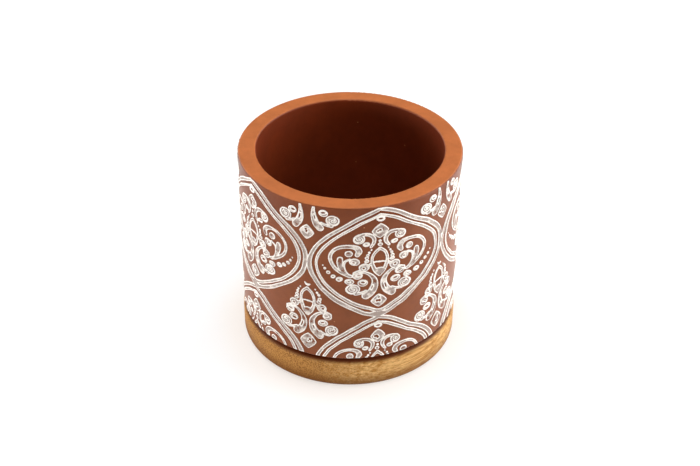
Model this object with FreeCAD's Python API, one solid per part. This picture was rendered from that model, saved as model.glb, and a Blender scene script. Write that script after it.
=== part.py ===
import FreeCAD, Part
import math
import os

os.makedirs("parts", exist_ok=True)

# A straight round pot stands on a turned bamboo saucer. Raised white slip covers its wall.
# The origin is on the table under the middle, +Z is up and the front is -Y.

# Pot
pot_diameter = 150.0
rim_height = 147.0              # top of the rim above the table
wall = 12.0
pot_floor = 12.0
rim_outer_round = 1.2
rim_inner_round = 1.4
inside_corner_round = 7.0
wall_foot_round = 0.9           # lower edge of the outer wall
seam_gap = 1.4                  # wall above saucer
foot_diameter = 134.0           # narrower foot that drops into the saucer
foot_round = 1.2
foot_ring_width = 12.0
foot_hollow = 3.0               # the underside lies this far above the foot ring
drain_diameter = 14.0
drain_round = 0.8
notch_count = 3                 # slots through the foot ring, for water
notch_width = 9.0

# Saucer
saucer_overhang = 0.8
saucer_top = 23.4               # top of the saucer's rim above the table
saucer_recess = 9.0
foot_clearance = 0.9
saucer_shoulder_round = 5.0
saucer_lip_round = 0.8
saucer_base_round = 4.0

# Scratch pads under the saucer
pad_count = 4
pad_diameter = 15.0
pad_thickness = 1.6
pad_proud = 0.4
pad_round = 0.15
pad_clearance = 0.2
pad_inset = 14.0                # from the saucer's edge to the middle of a pad

# Drainage mesh that lies loose over the drain hole
mesh_diameter = 36.0
mesh_thickness = 0.8
mesh_hole = 2.2
mesh_bar = 1.1
mesh_border = 1.6

# White slip
slip_height = 0.5
slip_bed = 0.02                 # glaze film under the slip
column_count = 5
row_pitch = 85.5
first_column_angle = 15.0       # middle of the cell at the front, in degrees
cell_middle_height = 103.3      # where the upper cells are widest

overrun = 5.0

pot_radius = pot_diameter / 2
inside_radius = pot_radius - wall
foot_radius = foot_diameter / 2
saucer_radius = pot_radius + saucer_overhang
recess_radius = foot_radius + foot_clearance
recess_height = saucer_top - saucer_recess
underside_height = recess_height + foot_hollow
inside_floor_height = underside_height + pot_floor
wall_bottom = saucer_top + seam_gap
slip_bottom = wall_bottom + wall_foot_round
slip_top = rim_height - rim_outer_round
column_angle = 360.0 / column_count
column_pitch = 2 * math.pi * pot_radius / column_count
slip_size = min(column_pitch, row_pitch)
up = FreeCAD.Vector(0, 0, 1)
centre = FreeCAD.Vector(0, 0, 0)

# Ornament outlines. Across is a share of the column pitch, up is a share of the row pitch, both from
# the middle of a cell. The right half is listed, top to bottom, and the left half mirrors it.
band_outside_shares = [(0, 0.508), (0.106, 0.469), (0.212, 0.405), (0.318, 0.324), (0.424, 0.204),
                       (0.480, 0.100), (0.508, 0), (0.498, -0.070), (0.450, -0.185), (0.348, -0.302),
                       (0.180, -0.419), (0, -0.512)]
band_inside_shares = [(0, 0.475), (0.106, 0.427), (0.212, 0.358), (0.318, 0.283), (0.424, 0.158),
                      (0.463, 0.049), (0.466, -0.021), (0.448, -0.126), (0.360, -0.243),
                      (0.219, -0.360), (0.095, -0.435), (0, -0.478)]
line_outside_shares = [(0, 0.455), (0.106, 0.409), (0.212, 0.342), (0.318, 0.257), (0.411, 0.125),
                       (0.440, 0.049), (0.445, -0.021), (0.424, -0.126), (0.339, -0.243),
                       (0.201, -0.360), (0.080, -0.428), (0, -0.463)]
line_inside_shares = [(0, 0.434), (0.106, 0.374), (0.212, 0.310), (0.318, 0.220), (0.400, 0.105),
                      (0.420, 0.037), (0.422, -0.033), (0.396, -0.126), (0.305, -0.243),
                      (0.149, -0.360), (0.064, -0.401), (0, -0.423)]
almond_shares = [(0, 0.146), (0.028, 0.122), (0.050, 0.070), (0.060, 0.023), (0.050, -0.018),
                 (0.030, -0.076), (0, -0.112)]
almond_window_shares = [(0, 0.122), (0.020, 0.097), (0.036, 0.050), (0.037, 0.032), (0, 0.030)]
almond_lower_window_shares = [(0, 0.014), (0.040, 0.014), (0.034, -0.008), (0.018, -0.029), (0, -0.036)]

# A gem fills a box of (across, up, half width, half height), and this is its right half in that box.
gem_outline_shares = [(0, 1.0), (0.30, 0.66), (0.80, 0.30), (1.0, 0), (0.85, -0.32), (0.42, -0.74),
                      (0, -1.0)]
upper_gem_shares = (0, 0.303, 0.058, 0.066)
lower_gem_shares = (0, -0.346, 0.058, 0.062)

# Strokes are (across, up, half width) along the middle of the brush line.
upper_scroll_shares = [(0.058, 0.164, 0.011), (0.041, 0.199, 0.014), (0.043, 0.240, 0.015),
                       (0.069, 0.270, 0.015), (0.104, 0.279, 0.014), (0.130, 0.272, 0.013)]
large_scroll_shares = [(0.203, -0.096, 0.014), (0.255, -0.068, 0.017), (0.302, -0.026, 0.016),
                       (0.331, 0.029, 0.015), (0.335, 0.088, 0.015), (0.311, 0.140, 0.016),
                       (0.263, 0.175, 0.016), (0.207, 0.185, 0.017), (0.159, 0.169, 0.021),
                       (0.134, 0.131, 0.023), (0.143, 0.098, 0.018)]
leaf_shares = [(0.272, 0.068, 0.026), (0.277, 0.037, 0.025), (0.268, -0.002, 0.018),
               (0.252, -0.024, 0.011)]
drop_shares = [(0.113, -0.067, 0.010), (0.086, -0.077, 0.012), (0.055, -0.103, 0.016),
               (0.035, -0.146, 0.021), (0.035, -0.199, 0.027), (0.056, -0.251, 0.032),
               (0.094, -0.286, 0.034)]
spiral_arm_shares = [(0.109, -0.241, 0.009), (0.131, -0.255, 0.011), (0.158, -0.262, 0.013)]

# Rounds are (across, up, half width, half height), and rings also give the share that is open.
ring_shares = [(0, 0.402, 0.031, 0.023, 0.45)]
curl_shares = [(0.150, -0.093, 0.036, 0.030, 0.30)]
circle_shares = [(0.113, -0.166, 0.037, 0.030, 0.38)]
spiral_eye_shares = (0.181, -0.226, 0.048, 0.046, 0.25)
upper_scroll_eye_shares = (0.142, 0.241, 0.039, 0.041, 0.22)
waist_shares = [(0.109, -0.019, 0.034, 0.033)]
scroll_bulb_shares = [(0.089, 0.188, 0.023, 0.018), (0.215, 0.119, 0.026, 0.026),
                      (0.173, 0.034, 0.034, 0.032)]
middle_bead_shares = [(0, 0.213, 0.010, 0.011), (0, 0.178, 0.018, 0.016)]
bead_column_shares = [(0.071, 0.117, 0.009, 0.010), (0.084, 0.091, 0.012, 0.013),
                      (0.091, 0.060, 0.014, 0.014), (0.091, 0.030, 0.016, 0.013)]
outer_bead_shares = [(0.373, -0.040, 0.010, 0.011), (0.354, -0.071, 0.014, 0.015),
                     (0.320, -0.099, 0.018, 0.019), (0.275, -0.131, 0.025, 0.023),
                     (0.209, -0.149, 0.030, 0.025)]

# The lower cells are a little narrower. The motif between the columns is the lower half of a cell's.
lower_row_across_share = 0.93
between_across_share = 0.95
between_up_share = 1.04
between_shift_share = 0.096
between_gem_shares = (0, -0.360, 0.062, 0.076)
between_bead_shares = (0, 0.186, 0.020, 0.012)
rim_row_across_share = 0.90     # the same motif, smaller, where the rim cuts it off
rim_row_up_share = 0.98
rim_row_shift_share = 0.114
lowest_row_share = 0.02         # least height of a clipped stroke that is still drawn


def turned(corners):
    """Solid of revolution about Z. Each corner is (radius, height, rounding)."""
    points = [FreeCAD.Vector(radius, 0, height) for radius, height, _ in corners]
    ends = []
    for index, (_, _, rounding) in enumerate(corners):
        corner = points[index]
        back = (points[index - 1] - corner).normalize()
        ahead = (points[(index + 1) % len(points)] - corner).normalize()
        half_angle = back.getAngle(ahead) / 2
        reach = rounding / math.tan(half_angle)
        middle = (back + ahead).normalize() * (rounding / math.sin(half_angle) - rounding)
        ends.append((corner + back * reach, corner + middle, corner + ahead * reach))
    edges = []
    for index, (start, middle, end) in enumerate(ends):
        if corners[index][2] > 0:
            edges.append(Part.Arc(start, middle, end).toShape())
        following = ends[(index + 1) % len(ends)][0]
        if end.distanceToPoint(following) > 0:
            edges.append(Part.LineSegment(end, following).toShape())
    return Part.Face(Part.Wire(edges)).revolve(centre, up, 360)


def pot_body():
    """The clay pot: straight wall, square rim, drain hole and a notched foot ring."""
    ring_inside = foot_radius - foot_ring_width
    body = turned([
        (drain_diameter / 2, underside_height, drain_round),
        (ring_inside, underside_height, foot_round),
        (ring_inside, recess_height, foot_round),
        (foot_radius, recess_height, foot_round),
        (foot_radius, wall_bottom, foot_round),
        (pot_radius, wall_bottom, wall_foot_round),
        (pot_radius, rim_height, rim_outer_round),
        (inside_radius, rim_height, rim_inner_round),
        (inside_radius, inside_floor_height, inside_corner_round),
        (drain_diameter / 2, inside_floor_height, drain_round),
    ])
    notches = []
    for index in range(notch_count):
        notch = Part.makeBox(foot_ring_width + 2 * overrun, notch_width, foot_hollow + overrun)
        notch.translate(FreeCAD.Vector(ring_inside - overrun, -notch_width / 2, recess_height - overrun))
        notch.rotate(centre, up, 360.0 * index / notch_count)
        notches.append(notch)
    return body.cut(Part.makeCompound(notches))


def pad_places():
    """Middles of the scratch pads, on a circle inside the saucer's edge."""
    ring = saucer_radius - pad_inset
    angles = [2 * math.pi * (index + 1 / 2) / pad_count for index in range(pad_count)]
    return [FreeCAD.Vector(ring * math.cos(angle), ring * math.sin(angle), 0) for angle in angles]


def saucer():
    """Turned bamboo disc with a recess for the pot's foot and shallow pockets for the pads."""
    disc = turned([
        (0, pad_proud, 0),
        (saucer_radius, pad_proud, saucer_base_round),
        (saucer_radius, saucer_top, saucer_shoulder_round),
        (recess_radius, saucer_top, saucer_lip_round),
        (recess_radius, recess_height, foot_round),
        (0, recess_height, 0),
    ])
    pocket_radius = pad_diameter / 2 + pad_clearance
    pockets = [Part.makeCylinder(pocket_radius, pad_thickness + overrun, place - up * overrun)
               for place in pad_places()]
    return disc.cut(Part.makeCompound(pockets))


def saucer_pads():
    """Soft discs set in the pockets, a little proud of the wood."""
    pads = []
    for place in pad_places():
        pad = turned([
            (0, 0, 0),
            (pad_diameter / 2, 0, pad_round),
            (pad_diameter / 2, pad_thickness, pad_round),
            (0, pad_thickness, 0),
        ])
        pad.translate(place)
        pads.append(pad)
    return pads


def drain_mesh():
    """Flat net that keeps the soil out of the drain hole."""
    mesh_radius = mesh_diameter / 2
    pitch = mesh_hole + mesh_bar
    reach = int(mesh_radius / pitch)
    disc = Part.makeCylinder(mesh_radius, mesh_thickness, up * inside_floor_height)
    holes = []
    for column in range(-reach, reach + 1):
        for row in range(-reach, reach + 1):
            corner = math.hypot(abs(column) * pitch + mesh_hole / 2, abs(row) * pitch + mesh_hole / 2)
            if corner < mesh_radius - mesh_border:
                hole = Part.makeBox(mesh_hole, mesh_hole, mesh_thickness + 2 * overrun)
                hole.translate(FreeCAD.Vector(column * pitch - mesh_hole / 2, row * pitch - mesh_hole / 2,
                                              inside_floor_height - overrun))
                holes.append(hole)
    return disc.cut(Part.makeCompound(holes))


def girth_point(across, height):
    """Point of the drawing, bent round the pot and seen from straight in front of the cell."""
    return FreeCAD.Vector(pot_radius * math.sin(across / pot_radius), 0, height)


def curve(points):
    spline = Part.BSplineCurve()
    spline.interpolate(points)
    return spline.toShape()


def prism(edges):
    """Outline pushed out through the front of the wall."""
    return Part.Face(Part.Wire(edges)).extrude(FreeCAD.Vector(0, -pot_radius - overrun, 0))


def sides(row):
    """A shape in the middle of a motif is drawn once, any other on both sides."""
    return (1, -1) if row[0] > 0 else (1,)


class Motif:
    """Places shares of the repeat on the wall, about the middle of one cell."""

    def __init__(self, middle_height, across_share=1.0, up_share=1.0, shift_share=0.0):
        self.middle_height = middle_height + shift_share * row_pitch
        self.across_scale = across_share * column_pitch
        self.up_scale = up_share * row_pitch
        self.stroke_scale = across_share * slip_size

    def place(self, across, height, side=1):
        return side * across * self.across_scale, self.middle_height + height * self.up_scale

    def outline(self, shares):
        """Prism of a shape that is the same left and right of the cell's middle."""
        right = [girth_point(*self.place(across, height)) for across, height in shares]
        left = [girth_point(*self.place(across, height, -1)) for across, height in reversed(shares)]
        return prism([curve(right), curve(left)])

    def gem(self, shares):
        across, height, half_width, half_height = shares
        return self.outline([(across + x * half_width, height + y * half_height)
                             for x, y in gem_outline_shares])

    def stroke(self, shares, side):
        """Prism of a brush line whose half width changes along it."""
        middles = [FreeCAD.Vector(*self.place(x, y, side)) for x, y, _ in shares]
        line = Part.BSplineCurve()
        line.interpolate(middles)
        left, right, behind = [], [], []
        for middle, (_, _, half_share) in zip(middles, shares):
            half = half_share * self.stroke_scale
            along = line.tangent(line.parameter(middle))[0]
            across = FreeCAD.Vector(-along.y, along.x) * half
            left.append(middle + across)
            right.append(middle - across)
            ahead = middle + along * half
            behind.append(middle - along * half)
        start, end, left, right = [[girth_point(p.x, p.y) for p in points]
                                   for points in (behind[:1], [ahead], left, right)]
        return prism([
            curve(left),
            Part.Arc(left[-1], end[0], right[-1]).toShape(),
            curve(right[::-1]),
            Part.Arc(right[0], start[0], left[0]).toShape(),
        ])

    def round(self, across, height, half_width, half_height, side=1, scale=1.0):
        middle_across, middle_height = self.place(across, height, side)
        middle = girth_point(middle_across, middle_height)
        turned_away = math.cos(middle_across / pot_radius)
        axes = [FreeCAD.Vector(half_width * scale * self.across_scale * turned_away, 0, 0),
                FreeCAD.Vector(0, 0, half_height * scale * self.up_scale)]
        longer, shorter = sorted(axes, key=lambda axis: axis.Length, reverse=True)
        return prism([Part.Ellipse(middle + longer, middle + shorter, middle).toShape()])

    def ring(self, across, height, half_width, half_height, open_share, side=1):
        whole = self.round(across, height, half_width, half_height, side)
        return whole.cut(self.round(across, height, half_width, half_height, side, open_share))

    def rounds(self, table):
        return [self.round(*row, side=side) for row in table for side in sides(row)]

    def rings(self, table):
        return [self.ring(*row, side=side) for row in table for side in sides(row)]

    def strokes(self, table):
        return [self.stroke(table, side) for side in (1, -1)]

    def hooks(self, arm_shares, eye_shares):
        """Brush lines that end in an oval with an open eye."""
        return [self.stroke(arm_shares, side).fuse(self.ring(*eye_shares, side=side)) for side in (1, -1)]

    def almond(self):
        almond = self.outline(almond_shares)
        windows = [self.outline(almond_window_shares), self.outline(almond_lower_window_shares)]
        return [almond.cut(Part.makeCompound(windows))]


def lower_motif(motif, gem_shares):
    """Almond, waist, drops, spirals and gem: used in the cells and between the columns."""
    return {
        "slip_almonds": motif.almond(),
        "slip_waist_bulbs": motif.rounds(waist_shares),
        "slip_bead_rows": motif.rounds(bead_column_shares),
        "slip_curls": motif.rings(curl_shares),
        "slip_circles": motif.rings(circle_shares),
        "slip_drops": motif.strokes(drop_shares),
        "slip_spirals": motif.hooks(spiral_arm_shares, spiral_eye_shares),
        "slip_gems": [motif.gem(gem_shares)],
    }


def cell_motif(motif):
    """Everything inside one cell."""
    prisms = lower_motif(motif, lower_gem_shares)
    prisms["slip_gems"].append(motif.gem(upper_gem_shares))
    prisms["slip_bead_rows"] += motif.rounds(middle_bead_shares + outer_bead_shares)
    prisms["slip_rings"] = motif.rings(ring_shares)
    prisms["slip_upper_scrolls"] = motif.hooks(upper_scroll_shares, upper_scroll_eye_shares)
    prisms["slip_large_scrolls"] = motif.strokes(large_scroll_shares)
    prisms["slip_leaves"] = motif.strokes(leaf_shares)
    prisms["slip_scroll_bulbs"] = motif.rounds(scroll_bulb_shares)
    prisms["slip_inner_lines"] = [motif.outline(line_outside_shares).cut(motif.outline(line_inside_shares))]
    return prisms


def between_motif(motif):
    """The motif between two columns, with its loose bead on top."""
    prisms = lower_motif(motif, between_gem_shares)
    prisms["slip_rings"] = motif.rounds([between_bead_shares])
    return prisms


def slip_shell():
    """The thickness that the slip takes up all round the wall."""
    height = slip_top - slip_bottom
    inside = Part.makeCylinder(pot_radius + slip_bed, height, up * slip_bottom)
    return Part.makeCylinder(pot_radius + slip_height, height, up * slip_bottom).cut(inside)


def column_bands(shell, upper, lower):
    """The heavy bands of one column, cut off in the middle of the joints to its neighbours."""
    sector = Part.makeCylinder(pot_radius + overrun, rim_height, centre, up, column_angle)
    sector.rotate(centre, up, -90 - column_angle / 2)
    cells = upper.outline(band_outside_shares).fuse(lower.outline(band_outside_shares))
    openings = [upper.outline(band_inside_shares), lower.outline(band_inside_shares)]
    return cells.cut(Part.makeCompound(openings)).common(shell).common(sector)


def slip():
    """All raised slip, as one list of solids for each node."""
    shell = slip_shell()
    upper = Motif(cell_middle_height)
    lower = Motif(cell_middle_height - row_pitch, lower_row_across_share)
    between = Motif(cell_middle_height - row_pitch / 2, between_across_share, between_up_share,
                    between_shift_share)
    under_rim = Motif(cell_middle_height + row_pitch / 2, rim_row_across_share, rim_row_up_share,
                      rim_row_shift_share)
    groups = [(0, cell_motif(upper)), (0, cell_motif(lower)),
              (1 / 2, between_motif(between)), (1 / 2, between_motif(under_rim))]
    nodes = {}
    for turn_share, prisms in groups:
        for node, shapes in prisms.items():
            for shape in shapes:
                for solid in shape.common(shell).Solids:
                    if solid.BoundBox.ZLength > lowest_row_share * row_pitch:
                        nodes.setdefault(node, []).append((turn_share, solid))
    repeats = {}
    for node, solids in nodes.items():
        for turn_share, solid in solids:
            for index in range(column_count):
                copy = solid.copy()
                copy.rotate(centre, up, first_column_angle + column_angle * (index + turn_share))
                repeats.setdefault(node, []).append(copy)
    band = column_bands(shell, upper, lower)
    bands = []
    for index in range(column_count):
        copy = band.copy()
        copy.rotate(centre, up, first_column_angle + column_angle * index)
        bands.append(copy)
    repeats["slip_cell_bands"] = bands[0].fuse(bands[1:]).removeSplitter().Solids
    return repeats


def write(name, solids):
    shape = solids[0] if len(solids) == 1 else Part.makeCompound(solids)
    shape.exportStep(f"parts/{name}.step")
    volume = sum(solid.Volume for solid in solids)
    print(name, len(solids), "solids", round(volume / 1000, 2), "cm3", "valid" if shape.isValid() else "INVALID")


write("pot_body", pot_body().Solids)
write("saucer", saucer().Solids)
write("saucer_pads", saucer_pads())
write("drain_mesh", drain_mesh().Solids)
for node, solids in sorted(slip().items()):
    write(node, solids)
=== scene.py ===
import math
import bpy
import numpy as np
from mathutils import Matrix, Vector
from mathutils.geometry import delaunay_2d_cdt


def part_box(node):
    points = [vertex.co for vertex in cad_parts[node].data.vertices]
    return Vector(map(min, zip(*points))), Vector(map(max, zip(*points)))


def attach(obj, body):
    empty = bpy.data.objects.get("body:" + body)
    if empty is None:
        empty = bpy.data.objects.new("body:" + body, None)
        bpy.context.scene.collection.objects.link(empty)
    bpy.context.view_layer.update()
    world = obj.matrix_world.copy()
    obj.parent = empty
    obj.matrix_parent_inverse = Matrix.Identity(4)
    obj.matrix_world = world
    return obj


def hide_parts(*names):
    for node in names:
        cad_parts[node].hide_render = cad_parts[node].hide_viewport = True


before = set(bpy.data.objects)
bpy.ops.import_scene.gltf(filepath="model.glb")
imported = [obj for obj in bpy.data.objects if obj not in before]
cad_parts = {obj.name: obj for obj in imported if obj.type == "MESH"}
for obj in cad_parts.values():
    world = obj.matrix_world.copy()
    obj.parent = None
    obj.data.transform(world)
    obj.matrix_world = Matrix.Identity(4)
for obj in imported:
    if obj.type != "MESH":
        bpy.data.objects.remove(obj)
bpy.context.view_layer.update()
mm = 0.001
randomness = np.random.default_rng(7)
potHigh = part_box("pot_body")[1]
slipLow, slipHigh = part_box("slip_cell_bands")
print("frame loaded:", ", ".join(sorted(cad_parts)))


# Node helpers

def shaderTree(name, look):  # a new material with its roughness and shine
    material = bpy.data.materials.new(name)
    material.use_nodes = True
    tree = material.node_tree
    skin = tree.nodes["Principled BSDF"]
    skin.inputs["Roughness"].default_value = look["roughness"]
    skin.inputs["Specular IOR Level"].default_value = look["specular"]
    return material, tree, skin


def put(tree, kind, **settings):  # adds a node, then sets its sockets and settings
    node = tree.nodes.new(kind)
    for key, value in settings.items():
        if key in node.inputs:
            node.inputs[key].default_value = value
        else:
            setattr(node, key, value)
    return node


def wire(tree, *chain):  # wires sockets in pairs: from, to, from, to ...
    for source, target in zip(chain[::2], chain[1::2]):
        tree.links.new(source, target)


def placeIn(tree, turn=0.0):  # object coordinates, turned about Z
    coordinate = put(tree, "ShaderNodeTexCoord")
    mapping = put(tree, "ShaderNodeMapping")
    mapping.inputs["Rotation"].default_value = (0, 0, turn)
    wire(tree, coordinate.outputs["Object"], mapping.inputs["Vector"])
    return mapping.outputs["Vector"]


def noise(tree, vector, scale, detail=3.0, roughness=0.55):
    node = put(tree, "ShaderNodeTexNoise", Scale=scale, Detail=detail, Roughness=roughness)
    wire(tree, vector, node.inputs["Vector"])
    return node.outputs["Fac"]


def ramp(tree, value, stops):  # stops are (place, grey) or (place, (r, g, b))
    node = put(tree, "ShaderNodeValToRGB")
    points = node.color_ramp.elements
    while len(points) < len(stops):
        points.new(0.5)
    for point, (place, colour) in zip(points, stops):
        point.position = place
        point.color = (*colour, 1) if isinstance(colour, tuple) else (colour, colour, colour, 1)
    wire(tree, value, node.inputs["Fac"])
    return node.outputs["Color"]


def rescale(tree, value, low, high, newLow=0.0, newHigh=1.0, smooth=False):
    node = put(tree, "ShaderNodeMapRange")
    node.interpolation_type = "SMOOTHSTEP" if smooth else "LINEAR"
    node.inputs["From Min"].default_value = low
    node.inputs["From Max"].default_value = high
    node.inputs["To Min"].default_value = newLow
    node.inputs["To Max"].default_value = newHigh
    wire(tree, value, node.inputs["Value"])
    return node.outputs["Result"]


def fillSockets(tree, sockets, values):  # a number, a colour or a link for each socket
    for socket, value in zip(sockets, values):
        if isinstance(value, (int, float)):
            socket.default_value = value
        elif isinstance(value, tuple):
            socket.default_value = (*value, 1)
        else:
            wire(tree, value, socket)


def calculate(tree, operation, first, second):
    node = put(tree, "ShaderNodeMath", operation=operation)
    fillSockets(tree, node.inputs, (first, second))
    return node.outputs["Value"]


def blendColours(tree, amount, first, second, kind="MIX"):
    node = put(tree, "ShaderNodeMix", data_type="RGBA", blend_type=kind)
    fillSockets(tree, (node.inputs[0], node.inputs[6], node.inputs[7]), (amount, first, second))
    return node.outputs[2]


def bumpy(tree, height, depth, strength, under=None):
    node = put(tree, "ShaderNodeBump", Strength=strength, Distance=depth)
    wire(tree, height, node.inputs["Height"])
    if under:
        wire(tree, under, node.inputs["Normal"])
    return node.outputs["Normal"]


def seen(red, green, blue):  # a colour as it is seen on screen, 0 to 255, turned into light
    shares = (red / 255, green / 255, blue / 255)
    return tuple(c / 12.92 if c < 0.043 else ((c + 0.055) / 1.055) ** 2.4 for c in shares)


def dress(node, material):
    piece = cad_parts[node]
    piece.material_slots[0].link = "OBJECT"
    piece.material_slots[0].material = material


# Clay: bare orange clay on the rim, the same clay inside darkened with painted shade, a thin brown wash on
# the wall darkened with painted shade just under the rim

clayLook = {
    "rim": seen(183, 105, 58),
    # painted shade: the inside is the rim's clay, coloured darker for the shade within the pot
    "inside": seen(118, 46, 18),
    "insideStart": (12 * mm, 11.2 * mm),    # in from the wall, where the rim turns to the inside
    "wash": seen(130, 69, 35),
    "washTop": potHigh.z - 0.3 * mm,        # the wash stops on the rim's rounded edge
    "washFade": 0.2 * mm,
    "washOver": (2.0 * mm, 0.4 * mm),       # in from the wall, where it thins out over the rim
    "paintedShade": seen(117, 55, 19),             # painted shade on the wall, darkest just under the rim
    "paintedShadeDepth": (32 * mm, 1.5 * mm),
    "cloudSizes": (60, 260),                # broad and small clouds per metre
    "smallClouds": (0, 1, -0.3, 0.3),
    "mottle": [(0.3, 0.90), (0.7, 1.08)],   # darkest and lightest cloud
    "fleck": (0.10, 0.035, 0.015),
    "fleckSize": 900,                       # flecks per metre
    "fleckShare": (0.64, 0.76, 0, 0.22),
    "speck": seen(226, 158, 108),           # a few pale specks and pinholes
    "speckSpread": 95,                      # places per metre where a speck may be
    "speckChoice": (0.62, 0.64),
    "speckSize": (0.055, 0.035),            # as a share of the space between places
    "speckStrength": 0.6,
    "dust": 0.4,                            # pale dusty look where the wall turns away
    "dustTint": (1.0, 0.9, 0.86),
    "dustRoughness": 0.35,
    "roughness": 0.48,
    "specular": 0.22,
    "waveSize": 160,
    "waves": (0.25 * mm, 0.35),             # depth and strength of the uneven surface
    "pits": (0.05 * mm, 0.4),
}


def makeClay():
    material, tree, skin = shaderTree("clay", clayLook)
    place = placeIn(tree)
    split = put(tree, "ShaderNodeSeparateXYZ")
    flat = put(tree, "ShaderNodeCombineXYZ")
    radius = put(tree, "ShaderNodeVectorMath", operation="LENGTH")
    wire(tree, place, split.inputs[0], split.outputs["X"], flat.inputs["X"],
         split.outputs["Y"], flat.inputs["Y"], flat.outputs[0], radius.inputs[0])
    height, fromAxis = split.outputs["Z"], radius.outputs["Value"]
    washTop, washFade = clayLook["washTop"], clayLook["washFade"]
    outside = rescale(tree, fromAxis, *[potHigh.x - depth for depth in clayLook["washOver"]])
    below = rescale(tree, height, washTop + washFade, washTop - washFade)
    washed = calculate(tree, "MULTIPLY", outside, below)
    onRim = rescale(tree, fromAxis, *[potHigh.x - depth for depth in clayLook["insideStart"]])
    # the rim's colour, turning to the painted shade colour of the inside
    bare = blendColours(tree, onRim, clayLook["inside"], clayLook["rim"])
    # painted shade: the wash is darkened from this depth up to the rim
    paintedShadeMask = rescale(tree, height, *[washTop - depth for depth in clayLook["paintedShadeDepth"]], smooth=True)
    wash = blendColours(tree, paintedShadeMask, clayLook["wash"], clayLook["paintedShade"])
    base = blendColours(tree, washed, bare, wash)
    broad, small = [noise(tree, place, size, 3) for size in clayLook["cloudSizes"]]
    clouds = calculate(tree, "ADD", broad, rescale(tree, small, *clayLook["smallClouds"]))
    mottled = blendColours(tree, 1.0, base, ramp(tree, clouds, clayLook["mottle"]), "MULTIPLY")
    fine = noise(tree, place, clayLook["fleckSize"], 3)
    flecked = blendColours(tree, rescale(tree, fine, *clayLook["fleckShare"]), mottled, clayLook["fleck"])
    spots = put(tree, "ShaderNodeTexVoronoi", Scale=clayLook["speckSpread"])
    wire(tree, place, spots.inputs["Vector"])
    chosen = rescale(tree, spots.outputs["Color"], *clayLook["speckChoice"])
    speck = rescale(tree, spots.outputs["Distance"], *clayLook["speckSize"])
    speck = calculate(tree, "MULTIPLY", calculate(tree, "MULTIPLY", chosen, speck), clayLook["speckStrength"])
    wire(tree, blendColours(tree, speck, flecked, clayLook["speck"]), skin.inputs["Base Color"])
    wire(tree, calculate(tree, "MULTIPLY", washed, clayLook["dust"]), skin.inputs["Sheen Weight"])
    skin.inputs["Sheen Roughness"].default_value = clayLook["dustRoughness"]
    skin.inputs["Sheen Tint"].default_value = (*clayLook["dustTint"], 1)
    uneven = bumpy(tree, noise(tree, place, clayLook["waveSize"], 4), *clayLook["waves"])
    wire(tree, bumpy(tree, fine, *clayLook["pits"], uneven), skin.inputs["Normal"])
    return material


dress("pot_body", makeClay())
print("clay made")


# Bamboo saucer: the fibres run from the front left to the back right

bambooLook = {
    "fibreTurn": math.radians(52),      # fibres lean this much from the front towards the left
    "fibreStretch": 0.05,
    "fibreSize": 1500,                  # fibres, grain, pores and clouds per metre
    "grainSize": 560,
    "poreSize": 1150,
    "cloudSize": 60,
    "side": seen(228, 182, 116),        # along the fibres
    "sideDark": seen(176, 122, 58),
    "sideGrain": [(0.38, 0.0), (0.6, 1.0)],
    "end": seen(182, 128, 64),          # cut across the fibres
    "endDark": seen(104, 60, 20),
    "endPores": (0.55, 0.2),
    "endFacing": (0.45, 0.9),           # how squarely a surface cuts the fibres before it looks cut
    "darkFibres": (0.52, 0.66, 0, 0.5),
    "clouds": (0.4, 0.65, 0, 0.14),
    "paintedTopShade": seen(88, 36, 3),           # painted shade on the top edge beside the pot
    "paintedTopShadeDepth": (3.9 * mm, 1 * mm),
    "foot": seen(96, 46, 2),            # painted shade: the wall darkens towards the foot
    "paintedFootShadeHeight": (14 * mm, 1 * mm),
    "paintedFootShadeStrength": 0.8,
    "roughness": 0.5,
    "specular": 0.13,
    "grooves": (0.06 * mm, 0.5),        # depth and strength
}


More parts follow.
